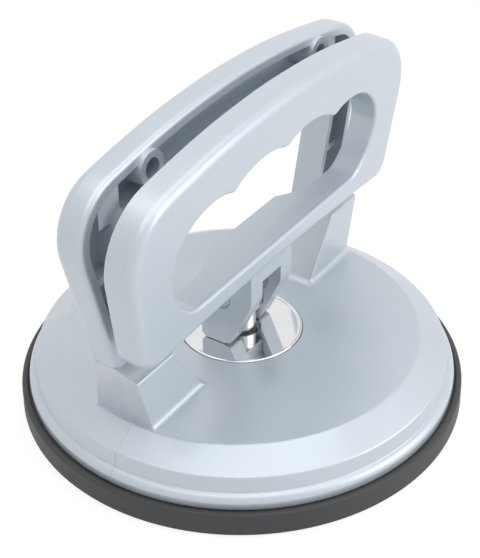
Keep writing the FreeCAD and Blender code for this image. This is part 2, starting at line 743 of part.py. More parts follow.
# Pull plate, washer, nut and spring seat round the shank
BORED = "(shank_radius + plate_bore_clearance)"
plate = ring("pull_plate", BORED, "plate_radius", "plate_height", PLATE_TOP)
washer = ring("stud_washer", BORED, "washer_radius", PLATE_TOP, WASHER_TOP)
seat = ring("spring_seat", BORE, "seat_radius", SEAT_FOOT, HUB_FOOT)
nut = new_body("plate_nut")
sketch = new_sketch(nut, "nut_outline", "XY_Plane", offset=WASHER_TOP)
CORNER = "(nut_flats / sqrt(3))"
draw_outline(sketch, [
    (CORNER, "0"),
    (f"({CORNER} / 2)", "(nut_flats / 2)"),
    (f"-({CORNER} / 2)", "(nut_flats / 2)"),
    (f"-({CORNER})", "0"),
    (f"-({CORNER} / 2)", "-(nut_flats / 2)"),
    (f"({CORNER} / 2)", "-(nut_flats / 2)"),
])
draw_circle(sketch, "0", "0", BORED)
extrude(nut, sketch, "nut", "nut_height")

# Conical return spring between the pull plate and the seat
spring = new_body("return_spring")
sketch = new_sketch(spring, "wire_section", "XZ_Plane")
FIRST_COIL = f"({PLATE_TOP} + spring_wire / 2 + spring_gap)"
draw_outline(sketch, [
    (f"(spring_big_radius + spring_wire / 2 * cos({turn} deg))",
     f"({FIRST_COIL} + spring_wire / 2 * sin({turn} deg))")
    for turn in range(0, 360, 60)
])
coil = spring.newObject("PartDesign::AdditiveHelix", "coil")
coil.Profile = sketch
coil.ReferenceAxis = (sketch, ["V_Axis"])
coil.Mode = "height-turns-growth"
coil.setExpression("Height", bound(f"{SEAT_FOOT} - {PLATE_TOP} - spring_wire - 2 * spring_gap"))
coil.setExpression("Turns", bound("spring_turns"))
coil.setExpression("Growth", bound("(spring_small_radius - spring_big_radius) / spring_turns"))
doc.recompute()

# Soundness of every feature, then one STEP file for each body
for item in doc.Objects:
    if {"Invalid", "Error"} & set(item.State):
        raise ValueError(f"{item.Name} is in state {item.State}")
os.makedirs("parts", exist_ok=True)
for body in doc.findObjects("PartDesign::Body"):
    if body.Shape.isNull() or not body.Shape.isValid():
        raise ValueError(f"{body.Label} has no sound shape")
    body.Shape.exportStep(f"parts/{body.Label}.step")
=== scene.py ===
"""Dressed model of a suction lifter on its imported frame: castings, pad, wear dish and inner works."""

import logging
import math
from dataclasses import dataclass
from enum import Enum
from typing import Callable, ClassVar

import bmesh
import bpy
from bmesh.types import BMEdge, BMesh, BMFace, BMVert
from mathutils import Matrix, Vector
from mathutils.geometry import intersect_line_line_2d


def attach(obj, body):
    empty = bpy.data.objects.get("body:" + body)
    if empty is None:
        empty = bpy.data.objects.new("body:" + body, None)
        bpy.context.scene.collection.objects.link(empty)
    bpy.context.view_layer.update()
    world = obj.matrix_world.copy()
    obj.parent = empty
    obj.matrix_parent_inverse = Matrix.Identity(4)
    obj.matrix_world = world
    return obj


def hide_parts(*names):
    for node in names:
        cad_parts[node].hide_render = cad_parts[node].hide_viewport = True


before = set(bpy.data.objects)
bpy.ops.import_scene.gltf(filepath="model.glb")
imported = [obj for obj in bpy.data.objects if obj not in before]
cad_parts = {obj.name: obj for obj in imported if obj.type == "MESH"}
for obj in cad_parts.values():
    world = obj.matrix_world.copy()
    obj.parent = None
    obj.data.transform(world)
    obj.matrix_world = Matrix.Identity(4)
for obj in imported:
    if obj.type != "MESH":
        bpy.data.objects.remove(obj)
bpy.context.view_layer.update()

MM = 0.001
CLOSE = 0.01
HAIR = 0.0001
SHARP = math.radians(40)
Corner = tuple[float, float, float]
Colour = tuple[float, float, float]

log = logging.getLogger("suction_lifter")


class Slot(Enum):
    """Material slots of the record that the pieces take their finish from."""

    CASTING = "painted_casting"
    DISH = "polished_dish"
    RUBBER = "pad_rubber"
    STEEL = "plated_steel"
    SPRING = "spring_wire"


class Body(Enum):
    """Bodies of the frame that the pieces ride on."""

    BASE = "base"
    STUD = "stud"
    LEVER = "lever"


class Plane(Enum):
    """Planes that outlines are drawn in."""

    FRONT = "x across and z up"
    SIDE = "y across and z up"
    FLOOR = "x across and y up"

    def point(self, across: float, up: float, depth: float) -> Vector:
        """Place of a point of the outline.

        Args:
            across: first coordinate in the plane.
            up: second coordinate in the plane.
            depth: place of the plane along its own normal.

        Returns:
            The point in the row frame.
        """
        if self is Plane.FRONT:
            return Vector((across, depth, up))
        if self is Plane.SIDE:
            return Vector((depth, across, up))
        return Vector((across, up, depth))


@dataclass(frozen=True)
class Finish:
    """A surface finish made of noise on the piece's own coordinates; lengths are in millimetres.

    Attributes:
        slot: slot of the record that it answers to.
        colour: main colour.
        second: colour of the faint clouds and of the sharp edges, where it is partly wear and partly painted
            highlight.
        metallic: metallic share.
        roughness: middle of the roughness.
        spread: how far the roughness strays from its middle.
        grain: size of the surface grain.
        relief: height of the grain.
        cloud: size of the clouds in the colour.
        clouding: share of the second colour in the clouds.
        edge_wear_and_highlight: share of the second colour along sharp edges, partly wear and partly painted
            highlight.
        coat: weight of the clear coat.
        coat_roughness: roughness of the clear coat.
        ring_pitch: distance between turned rings, or zero for none.
        ring_relief: height of the turned rings.
    """

    slot: Slot
    colour: Colour
    second: Colour
    metallic: float
    roughness: float
    spread: float
    grain: float
    relief: float
    cloud: float = 14.0
    clouding: float = 0.25
    edge_wear_and_highlight: float = 0.3
    coat: float = 0.0
    coat_roughness: float = 0.12
    ring_pitch: float = 0.0
    ring_relief: float = 0.0

    def material(self) -> bpy.types.Material:
        """The finish as a material, made once."""
        return bpy.data.materials.get(f"{self.slot.value}_finish") or self._make()

    def _noise(self, tree: bpy.types.NodeTree, place: bpy.types.NodeSocket, size: float,
               detail: float) -> bpy.types.NodeSocket:
        """Noise of a given size.

        Args:
            tree: tree to put the node in.
            place: coordinates that it reads.
            size: size of its patches in millimetres.
            detail: octaves of finer noise.

        Returns:
            The socket of its value.
        """
        node = tree.nodes.new("ShaderNodeTexNoise")
        node.inputs["Scale"].default_value = 1 / (size * MM)
        node.inputs["Detail"].default_value = detail
        tree.links.new(place, node.inputs["Vector"])
        return node.outputs["Fac"]

    def _ranged(self, tree: bpy.types.NodeTree, value: bpy.types.NodeSocket, source: tuple[float, float],
                target: tuple[float, float]) -> bpy.types.NodeSocket:
        """A value moved from one range to another.

        Args:
            tree: tree to put the node in.
            value: socket that it reads.
            source: range of the value that is used.
            target: range that comes out.

        Returns:
            The socket of the result.
        """
        node = tree.nodes.new("ShaderNodeMapRange")
        for name, number in zip(("From Min", "From Max", "To Min", "To Max"), (*source, *target)):
            node.inputs[name].default_value = number
        tree.links.new(value, node.inputs["Value"])
        return node.outputs["Result"]

    def _mixed(self, tree: bpy.types.NodeTree, share: bpy.types.NodeSocket,
               first: bpy.types.NodeSocket | Colour) -> bpy.types.NodeSocket:
        """The second colour laid over a first one.

        Args:
            tree: tree to put the node in.
            share: socket that says how much of the second colour shows.
            first: socket or value of the first colour.

        Returns:
            The socket of the mixed colour.
        """
        node = tree.nodes.new("ShaderNodeMix")
        node.data_type = "RGBA"
        tree.links.new(share, node.inputs["Factor"])
        if isinstance(first, tuple):
            node.inputs[6].default_value = (*first, 1)
        else:
            tree.links.new(first, node.inputs[6])
        node.inputs[7].default_value = (*self.second, 1)
        return node.outputs[2]

    def _relief(self, tree: bpy.types.NodeTree, height: bpy.types.NodeSocket, amount: float,
                below: bpy.types.NodeSocket | None) -> bpy.types.NodeSocket:
        """A bump of a given height.

        Args:
            tree: tree to put the node in.
            height: socket of the pattern.
            amount: height of the pattern in millimetres.
            below: normal of the relief under it, if there is one.

        Returns:
            The socket of the normal.
        """
        node = tree.nodes.new("ShaderNodeBump")
        node.inputs["Distance"].default_value = amount * MM
        tree.links.new(height, node.inputs["Height"])
        if below:
            tree.links.new(below, node.inputs["Normal"])
        return node.outputs["Normal"]

    def _edge_wear_and_highlight(self, tree: bpy.types.NodeTree, place: bpy.types.NodeSocket) -> bpy.types.NodeSocket:
        """Uneven marks along sharp outward edges, partly wear and partly painted highlight.

        Args:
            tree: tree to put the nodes in.
            place: coordinates that the unevenness reads.

        Returns:
            The socket of the share of second colour along the edges, partly wear and partly painted
            highlight.
        """
        # Pointiness picks the sharp outward edges that get the painted highlight and the wear.
        sharp = tree.nodes.new("ShaderNodeNewGeometry").outputs["Pointiness"]
        patches = self._ranged(tree, self._noise(tree, place, self.cloud / 5, 5), (0.4, 0.6), (0.3, 1))
        wear_and_highlight = tree.nodes.new("ShaderNodeMath")
        wear_and_highlight.operation = "MULTIPLY"
        tree.links.new(self._ranged(tree, sharp, (0.52, 0.62), (0, self.edge_wear_and_highlight)), wear_and_highlight.inputs[0])
        tree.links.new(patches, wear_and_highlight.inputs[1])
        return wear_and_highlight.outputs[0]

    def _make(self) -> bpy.types.Material:
        """Builds the material's nodes.

        Returns:
            The new material.
        """
        material = bpy.data.materials.new(f"{self.slot.value}_finish")
        material.use_nodes = True
        tree = material.node_tree
        shader = tree.nodes["Principled BSDF"]
        shader.inputs["Metallic"].default_value = self.metallic
        shader.inputs["Coat Weight"].default_value = self.coat
        shader.inputs["Coat Roughness"].default_value = self.coat_roughness
        place = tree.nodes.new("ShaderNodeTexCoord").outputs["Object"]
        clouds = self._noise(tree, place, self.cloud, 3)
        tinted = self._mixed(tree, self._ranged(tree, clouds, (0.35, 0.7), (0, self.clouding)), self.colour)
        # Sharp edges take the second colour, partly as wear and partly as painted highlight.
        tree.links.new(self._mixed(tree, self._edge_wear_and_highlight(tree, place), tinted), shader.inputs["Base Color"])
        rough = (self.roughness - self.spread, self.roughness + self.spread)
        tree.links.new(self._ranged(tree, clouds, (0.3, 0.7), rough), shader.inputs["Roughness"])
        normal = self._relief(tree, self._noise(tree, place, self.grain, 2), self.relief, None)
        if self.ring_pitch:
            rings = tree.nodes.new("ShaderNodeTexWave")
            rings.wave_type = "RINGS"
            rings.rings_direction = "Z"
            rings.inputs["Scale"].default_value = math.pi / 10 / (self.ring_pitch * MM)
            rings.inputs["Distortion"].default_value = 0.2
            tree.links.new(place, rings.inputs["Vector"])
            normal = self._relief(tree, rings.outputs["Fac"], self.ring_relief, normal)
        tree.links.new(normal, shader.inputs["Normal"])
        return material


# The silver paint's lighter second colour along sharp edges is painted highlight as well as wear.
SILVER_PAINT = Finish(Slot.CASTING, (0.55, 0.605, 0.66), (0.64, 0.67, 0.7), metallic=0.4, roughness=0.36,
                      spread=0.04, grain=0.5, relief=0.01, coat=0.2, edge_wear_and_highlight=0.5, clouding=0.15)
MIRROR_CHROME = Finish(Slot.DISH, (0.78, 0.785, 0.8), (0.68, 0.69, 0.7), metallic=1.0, roughness=0.05,
                       spread=0.02, grain=0.9, relief=0.0008, cloud=6, edge_wear_and_highlight=0.3, ring_pitch=0.5,
                       ring_relief=0.0006)
MOULDED_RUBBER = Finish(Slot.RUBBER, (0.036, 0.037, 0.039), (0.065, 0.065, 0.066), metallic=0.0,
                        roughness=0.55, spread=0.08, grain=0.35, relief=0.02, cloud=9, clouding=0.4,
                        edge_wear_and_highlight=0.5, ring_pitch=1.1, ring_relief=0.006)
ZINC_PLATE = Finish(Slot.STEEL, (0.6, 0.61, 0.63), (0.48, 0.48, 0.5), metallic=1.0, roughness=0.28,
                    spread=0.07, grain=0.3, relief=0.004, cloud=4, clouding=0.5, edge_wear_and_highlight=0.3,
                    ring_pitch=0.3, ring_relief=0.0008)
DRAWN_WIRE = Finish(Slot.SPRING, (0.42, 0.42, 0.44), (0.25, 0.24, 0.23), metallic=1.0, roughness=0.34,
                    spread=0.08, grain=0.2, relief=0.004, cloud=2, clouding=0.5, edge_wear_and_highlight=0.4)


def crowned(crown: float, radius: float, reach: float, parts: int = 2) -> list[Corner]:
    """Corners whose rounding draws a crowned edge from the middle outwards.

    Args:
        crown: height of the edge at the middle.
        radius: radius of its curve.
        reach: how far from the middle the curve goes.
        parts: number of arcs.

    Returns:
        The corners, from the middle outwards.
    """
    half = math.asin(reach / radius) / parts / 2
    far = radius / math.cos(half)
    turns = [(2 * part + 1) * half for part in range(parts)]
    return [(far * math.sin(turn), crown - radius + far * math.cos(turn), radius * 0.99) for turn in turns]


def shoulder(crown: float, radius: float, reach: float, foot: tuple[float, float],
             top: tuple[float, float], rounding: float) -> Corner:
    """Corner where the end of a crowned edge meets a straight side.

    Args:
        crown: height of the edge at the middle.
        radius: radius of its curve.
        reach: how far from the middle the curve goes.
        foot: low point of the side.
        top: high point of the side.
        rounding: radius of the corner.

    Returns:
        The corner.
    """
    turn = math.asin(reach / radius)
    start = Vector((reach, crown - radius + radius * math.cos(turn)))
    along = Vector((math.cos(turn), -math.sin(turn)))
    side = Vector(top) - Vector(foot)
    meeting = intersect_line_line_2d(start, start + along * radius, Vector(foot), Vector(foot) + side * 2)
    return (meeting.x, meeting.y, rounding)


def draw_face(bm: BMesh, corners: list[Corner], plane: Plane, depth: float = 0.0, steps: int = 8) -> BMFace:
    """A flat face whose corners are rounded one by one.

    Args:
        bm: mesh to draw in.
        corners: two coordinates and a radius each, in order.
        plane: plane to draw in.
        depth: place of the plane along its normal.
        steps: flat pieces of each rounding.

    Returns:
        The face.
    """
    verts = [bm.verts.new(plane.point(across, up, depth)) for across, up, _ in corners]
    face = bm.faces.new(verts)
    places = [Vector(corner[:2]) for corner in corners]
    for index, vert in enumerate(verts):
        radius = corners[index][2]
        if radius:
            after = places[(index + 1) % len(places)] - places[index]
            turn = (places[index] - places[index - 1]).angle(after)
            bmesh.ops.bevel(bm, geom=[vert], offset=radius * math.tan(turn / 2), offset_type="OFFSET",
                            segments=steps, profile=0.5, affect="VERTICES", material=-1, clamp_overlap=False)
    bmesh.ops.remove_doubles(bm, verts=bm.verts[:], dist=CLOSE)
    return face if face.is_valid else max(bm.faces, key=lambda item: item.calc_area())


def thicken(bm: BMesh, face: BMFace, move: Vector) -> None:
    """Extrudes a lone face into a solid.

    Args:
        bm: mesh that holds the face and nothing else.
        face: face to extrude.
        move: from the face to the far side.
    """
    made = bmesh.ops.extrude_face_region(bm, geom=[face])
    bmesh.ops.translate(bm, verts=[item for item in made["geom"] if isinstance(item, BMVert)], vec=move)
    bmesh.ops.recalc_face_normals(bm, faces=bm.faces[:])


def sink(bm: BMesh, face: BMFace, wall: float, low: float, move: Vector) -> None:
    """A pocket in a face, with a wall left all round it.

    Args:
        bm: mesh to change.
        face: face that the pocket opens in.
        wall: width of the wall; edges on an open border get none.
        low: height of the pocket's lower end, which nothing of its outline may pass.
        move: from the rim to the floor.
    """
    bmesh.ops.inset_region(bm, faces=[face], thickness=wall, use_boundary=False, use_even_offset=True)
    past = {vert for vert in face.verts if vert.co.z < low - CLOSE}
    if past:
        corner = next(edge.other_vert(vert) for edge in face.edges for vert in edge.verts
                      if vert in past and abs(edge.other_vert(vert).co.z - low) < CLOSE)
        meeting = Vector((max(vert.co.x for vert in past), corner.co.y, low))
        bmesh.ops.pointmerge(bm, verts=[corner, *past], merge_co=meeting)
        face = max(corner.link_faces, key=lambda item: item.calc_area())
    made = bmesh.ops.extrude_discrete_faces(bm, faces=[face])
    bmesh.ops.translate(bm, verts=made["faces"][0].verts[:], vec=move)


def slice_flat(bm: BMesh, point: Vector, outward: Vector) -> None:
    """Cuts a solid with a plane, drops what is outside and closes the cut.

    Args:
        bm: mesh to cut.
        point: a point of the plane.
        outward: direction of what is dropped.
    """
    bmesh.ops.bisect_plane(bm, geom=bm.verts[:] + bm.edges[:] + bm.faces[:], dist=HAIR, plane_co=point,
                           plane_no=outward, clear_outer=True)
    bmesh.ops.holes_fill(bm, edges=[edge for edge in bm.edges if edge.is_boundary], sides=0)


def open_middle(bm: BMesh) -> None:
    """Removes the faces of a half piece that lie in its plane of symmetry.

    Args:
        bm: mesh of the half piece.
    """
    flat = [face for face in bm.faces if all(abs(vert.co.x) < CLOSE for vert in face.verts)]
    bmesh.ops.delete(bm, geom=flat, context="FACES_ONLY")
    bmesh.ops.delete(bm, geom=[edge for edge in bm.edges if edge.is_wire], context="EDGES")


def mirror_halves(bm: BMesh) -> None:
    """Makes a half piece whole.

    Args:
        bm: mesh of the half piece, which ends in the plane of symmetry.
    """
    open_middle(bm)
    bmesh.ops.mirror(bm, geom=bm.verts[:] + bm.edges[:] + bm.faces[:], axis="X", merge_dist=CLOSE)
    bmesh.ops.remove_doubles(bm, verts=bm.verts[:], dist=CLOSE / 2)
    bmesh.ops.recalc_face_normals(bm, faces=bm.faces[:])


def round_edges(bm: BMesh, wanted: Callable[[BMEdge], bool], radius: float, steps: int) -> None:
    """Rounds the edges that a test picks.

    Args:
        bm: mesh to change.
        wanted: test of an edge.
        radius: radius at a square edge.
        steps: flat pieces of the rounding.
    """
    edges = [edge for edge in bm.edges if edge.is_manifold and wanted(edge)]
    bmesh.ops.bevel(bm, geom=edges, offset=radius, offset_type="OFFSET", segments=steps, profile=0.5,
                    affect="EDGES", material=-1, clamp_overlap=True)


def turned(bm: BMesh, corners: list[Corner], steps: int = 144) -> None:
    """A closed section turned about the vertical axis.

    Args:
        bm: mesh to draw in.
        corners: radius from the axis, height and rounding of each corner.
        steps: flat pieces of the full turn.
    """
    face = draw_face(bm, corners, Plane.FRONT, steps=5)
    rim = face.edges[:]
    bmesh.ops.delete(bm, geom=[face], context="FACES_ONLY")
    verts = {vert for edge in rim for vert in edge.verts}
    bmesh.ops.spin(bm, geom=[*verts, *rim], cent=(0, 0, 0), axis=(0, 0, 1), angle=math.tau, steps=steps,
                   use_merge=True)
    bmesh.ops.remove_doubles(bm, verts=bm.verts[:], dist=CLOSE / 10)
    bmesh.ops.recalc_face_normals(bm, faces=bm.faces[:])


def merge(bm: BMesh, other: BMesh) -> None:
    """Adds a second mesh to a mesh and frees it.

    Args:
        bm: mesh to add to.
        other: mesh to add.
    """
    mesh = bpy.data.meshes.new("part")
    other.to_mesh(mesh)
    other.free()
    bm.from_mesh(mesh)
    bpy.data.meshes.remove(mesh)


def add_block(bm: BMesh, low: Vector, high: Vector, turn: float = 0.0) -> None:
    """Adds a block.

    Args:
        bm: mesh to add to.
        low: its lowest corner.
        high: the corner across from that.
        turn: turn about the vertical axis through the origin, made last.
    """
    place = Matrix.Translation((low + high) / 2) @ Matrix.Diagonal((*(high - low), 1))
    bmesh.ops.create_cube(bm, size=1, matrix=Matrix.Rotation(turn, 4, "Z") @ place)


@dataclass
class Piece:
    """A piece of the model, made of one mesh that rides on one body."""

    NAME: ClassVar[str]
    BODY: ClassVar[Body]
    NODE: ClassVar[str]
    FINISH: ClassVar[Finish]
    EDGE: ClassVar[float] = 0.0

    def build(self, bm: BMesh) -> None:
        """Draws the piece in millimetres.

        Args:
            bm: empty mesh to draw in.
        """
        raise NotImplementedError

    def dress(self, bm: BMesh) -> bpy.types.Object:
        """Turns the drawn mesh into a finished object.

        Args:
            bm: the drawn mesh, in millimetres.

        Returns:
            The object, riding on its body and standing for its node.
        """
        bmesh.ops.scale(bm, vec=(MM, MM, MM), verts=bm.verts[:])
        for edge in bm.edges:
            edge.smooth = not (edge.is_manifold and edge.calc_face_angle() > SHARP)
        for face in bm.faces:
            face.smooth = True
        mesh = bpy.data.meshes.new(self.NAME)
        bm.to_mesh(mesh)
        mesh.materials.append(self.FINISH.material())
        made = bpy.data.objects.new(self.NAME, mesh)
        bpy.context.scene.collection.objects.link(made)
        if self.EDGE:
            rounding = made.modifiers.new("edge_rounding", "BEVEL")
            rounding.width = self.EDGE * MM
            rounding.segments = 2
            rounding.limit_method = "ANGLE"
            rounding.angle_limit = SHARP
        flats = made.modifiers.new("even_flats", "WEIGHTED_NORMAL")
        flats.keep_sharp = True
        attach(made, self.BODY.value)
        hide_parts(self.NODE)
        return made

    def make(self) -> bpy.types.Object:
        """Builds and dresses the piece.

        Returns:
            The finished object.
        """
        bm = bmesh.new()
        self.build(bm)
        log.info("%s: %d faces, %d open edges", self.NAME, len(bm.faces),
                 sum(1 for edge in bm.edges if not edge.is_manifold))
        made = self.dress(bm)
        bm.free()
        return made


@dataclass
class BasePlate(Piece):
    """Stepped round plate of the base casting with its hub and webs."""

    NAME: ClassVar[str] = "base_plate"
    BODY: ClassVar[Body] = Body.BASE
    NODE: ClassVar[str] = "base_casting"
    FINISH: ClassVar[Finish] = SILVER_PAINT

    flange: float = 57.6
    seat: float = 6.2
    skirt: float = 52.6
    top: float = 18.4
    recess: float = 16.6
    recess_floor: float = 16.4
    bore: float = 4.4
    hub: float = 13.2
    hub_foot: float = 12.8
    ceiling: float = 14.8
    webs: int = 8
    web_half: float = 1.1
    web_foot: float = 11.8
    web_bite: float = 0.6
    seam_half: float = 0.2
    seam_proud: float = 0.12

    def build(self, bm: BMesh) -> None:
        """Draws the turned plate and its webs.

        Args:
            bm: empty mesh to draw in.
        """
        turned(bm, [
            (self.flange, self.seat, 0.5), (self.flange, 9.6, 1.9), (55.8, 10.2, 0.35), (55.1, 14.3, 0.7),
            (47.9, self.top, 1.6), (self.recess, self.top, 0.35), (self.recess, self.recess_floor, 0),
            (self.bore, self.recess_floor, 0), (self.bore, self.hub_foot, 0), (self.hub, self.hub_foot, 0.4),
            (self.hub, self.ceiling, 0), (45.3, self.ceiling, 0), (52.2, 12.2, 0),
            (self.skirt, self.seat, 0.4),
        ])
        for number in range(self.webs):
            add_block(bm, Vector((self.hub - self.web_bite, -self.web_half, self.web_foot)),
                      Vector((self.skirt - 0.2, self.web_half, self.ceiling + 0.4)),
                      math.tau * number / self.webs)
        for turn in (0.0, math.pi):
            self._add_seam(bm, turn)

    def _add_seam(self, bm: BMesh, turn: float) -> None:
        """Adds the fine ridge that the casting mould leaves where its two halves meet.

        Args:
            bm: mesh to add to.
            turn: where it runs, as a turn about the vertical axis.
        """
        ridge = bmesh.new()
        proud = self.seam_proud
        thicken(ridge, draw_face(ridge, [
            (48.0, self.top - 1.0, 0), (56.0, 8.0, 0), (self.flange + proud, 8.0, 0),
            (self.flange + proud, 9.6 + proud, 1.9), (55.8 + proud, 10.2 + proud, 0),
            (55.1 + proud, 14.3 + proud, 0.7), (48.0, self.top + proud, 0),
        ], Plane.FRONT, -self.seam_half), Vector((0, 2 * self.seam_half, 0)))
        bmesh.ops.rotate(ridge, cent=(0, 0, 0), matrix=Matrix.Rotation(turn, 3, "Z"), verts=ridge.verts[:])
        merge(bm, ridge)


@dataclass
class GripArch(Piece):
    """Fixed grip of the base casting: a hollow arch with cross ribs and two stop bosses."""

    NAME: ClassVar[str] = "grip_arch"
    BODY: ClassVar[Body] = Body.BASE
    NODE: ClassVar[str] = "base_casting"
    FINISH: ClassVar[Finish] = SILVER_PAINT
    EDGE: ClassVar[float] = 0.9

    depth: float = 8.2
    wall: float = 3.0
    back_wall: float = 2.4
    back_round: float = 3.0
    rim_round: float = 1.5
    crown: float = 92.2
    crown_radius: float = 240.0
    crown_reach: float = 48.5
    corner_radius: float = 14.5
    root: float = 17.0
    foot_inner: float = 25.4
    foot: tuple[float, float] = (46.6, 17.0)
    top: tuple[float, float] = (63.4, 83.67)
    window_top: float = 78.5
    window_reach: float = 36.0
    window_corner: Corner = (47.6, 72.6, 9.0)
    window_foot: Corner = (37.2, 34.6, 12.0)
    window_slope: float = 0.2574
    floor: float = 38.5
    middle: float = 55.0
    boss: tuple[float, float] = (35.8, 84.0)
    boss_radius: float = 4.3
    boss_hole: float = 2.5
    boss_hole_depth: float = 5.5
    boss_stand: float = 1.2
    rib_half: float = 0.9
    rib_drop: float = 2.0
    rib_heights: tuple[float, float] = (50.0, 62.0)
    rib_bite: float = 1.5
    web_inner: float = 43.2
    web_outer: float = 50.6
    web_drop: float = 2.8
    web_cover: float = 2.0
    web_below: float = 4.5

    def build(self, bm: BMesh) -> None:
        """Draws half of the arch, hollows it, mirrors it and adds ribs and bosses.

        Args:
            bm: empty mesh to draw in.
        """
        inner_radius = self.crown_radius - self.crown + self.window_top
        outer = crowned(self.crown, self.crown_radius, self.crown_reach)
        inner = crowned(self.window_top, inner_radius, self.window_reach)
        corner = shoulder(self.crown, self.crown_radius, self.crown_reach, self.foot, self.top,
                          self.corner_radius)
        thicken(bm, draw_face(bm, [
            (self.foot_inner, self.root, 0), (*self.foot, 0), corner, *reversed(outer),
            (0, self.crown, 0), (0, self.window_top, 0), *inner, self.window_corner, self.window_foot,
        ], Plane.FRONT, steps=12), Vector((0, self.depth, 0)))
        open_middle(bm)
        self._hollow(bm)
        mirror_halves(bm)
        round_edges(bm, lambda edge: self._on_rim(edge, self.depth), self.back_round, 5)
        round_edges(bm, lambda edge: self._on_rim(edge, 0.0), self.rim_round, 4)
        self._add_ribs(bm)
        self._add_bosses(bm)

    def _hollow(self, bm: BMesh) -> None:
        """Sinks the channel in the side that faces the lever.

        Args:
            bm: mesh of half of the arch.
        """
        front = min(bm.faces, key=lambda face: (round(face.calc_center_median().y, 3), -face.calc_area()))
        bmesh.ops.bisect_plane(bm, geom=[front, *front.edges, *front.verts], dist=HAIR,
                               plane_co=(0, 0, self.floor - self.wall), plane_no=(0, 0, 1))
        flat = [face for face in bm.faces if all(abs(vert.co.y) < CLOSE for vert in face.verts)]
        sink(bm, max(flat, key=lambda face: face.calc_area()), self.wall, self.floor,
             Vector((0, self.depth - self.back_wall, 0)))

    def _on_rim(self, edge: BMEdge, depth: float) -> bool:
        """Tests an edge for the outer outline at a depth.

        Args:
            edge: edge to test.
            depth: depth of the back, or zero for the open side.

        Returns:
            Whether the edge is of that outline.
        """
        place = (edge.verts[0].co + edge.verts[1].co) / 2
        if any(abs(vert.co.y - depth) > CLOSE for vert in edge.verts) or place.z < self.root + 1:
            return False
        side = [face for face in edge.link_faces if abs(face.normal.y) < 0.5]
        return bool(side) and side[0].normal.dot(place - Vector((0, place.y, self.middle))) > 0

    def _side(self, height: float) -> tuple[float, float]:
        """Where a leg lies at a height.

        Args:
            height: height above the glass.

        Returns:
            Its inner and its outer half width.
        """
        outer = self.foot[0] + (self.top[0] - self.foot[0]) * (height - self.root) / (self.top[1] - self.root)
        return self.window_foot[0] + self.window_slope * (height - self.window_foot[1]), outer

    def _add_ribs(self, bm: BMesh) -> None:
        """Adds the ribs across both legs and the webs in the upper corners.

        Args:
            bm: mesh of the arch.
        """
        high = self.depth - self.back_wall / 2
        for height in self.rib_heights:
            inner, outer = self._side(height)
            for sign in (-1, 1):
                ends = sorted((sign * (inner + self.rib_bite), sign * (outer - self.rib_bite)))
                add_block(bm, Vector((ends[0], self.rib_drop, height - self.rib_half)),
                          Vector((ends[1], high, height + self.rib_half)))
        for start, end in ((-self.web_outer, -self.web_inner), (self.web_inner, self.web_outer)):
            top = self.crown - start ** 2 / 2 / self.crown_radius - self.web_cover
            add_block(bm, Vector((start, self.web_drop, self.window_top - self.web_below)),
                      Vector((end, high, top)))

    def _add_bosses(self, bm: BMesh) -> None:
        """Adds the two hollow bosses.

        Args:
            bm: mesh of the arch.
        """
        start, end = -self.boss_stand, self.depth - self.back_wall / 2
        for sign in (-1, 1):
            place = Matrix.Translation((sign * self.boss[0], (start + end) / 2, self.boss[1]))
            made = bmesh.ops.create_cone(bm, cap_ends=True, segments=40, radius1=self.boss_radius,
                                         radius2=self.boss_radius, depth=end - start,
                                         matrix=place @ Matrix.Rotation(math.pi / 2, 4, "X"))
            faces = {face for vert in made["verts"] for face in vert.link_faces if len(face.verts) > 4}
            front = min(faces, key=lambda face: face.calc_center_median().y)
            bmesh.ops.inset_region(bm, faces=[front], thickness=self.boss_radius - self.boss_hole)
            hole = bmesh.ops.extrude_discrete_faces(bm, faces=[front])
            bmesh.ops.translate(bm, verts=hole["faces"][0].verts[:], vec=(0, self.boss_hole_depth, 0))


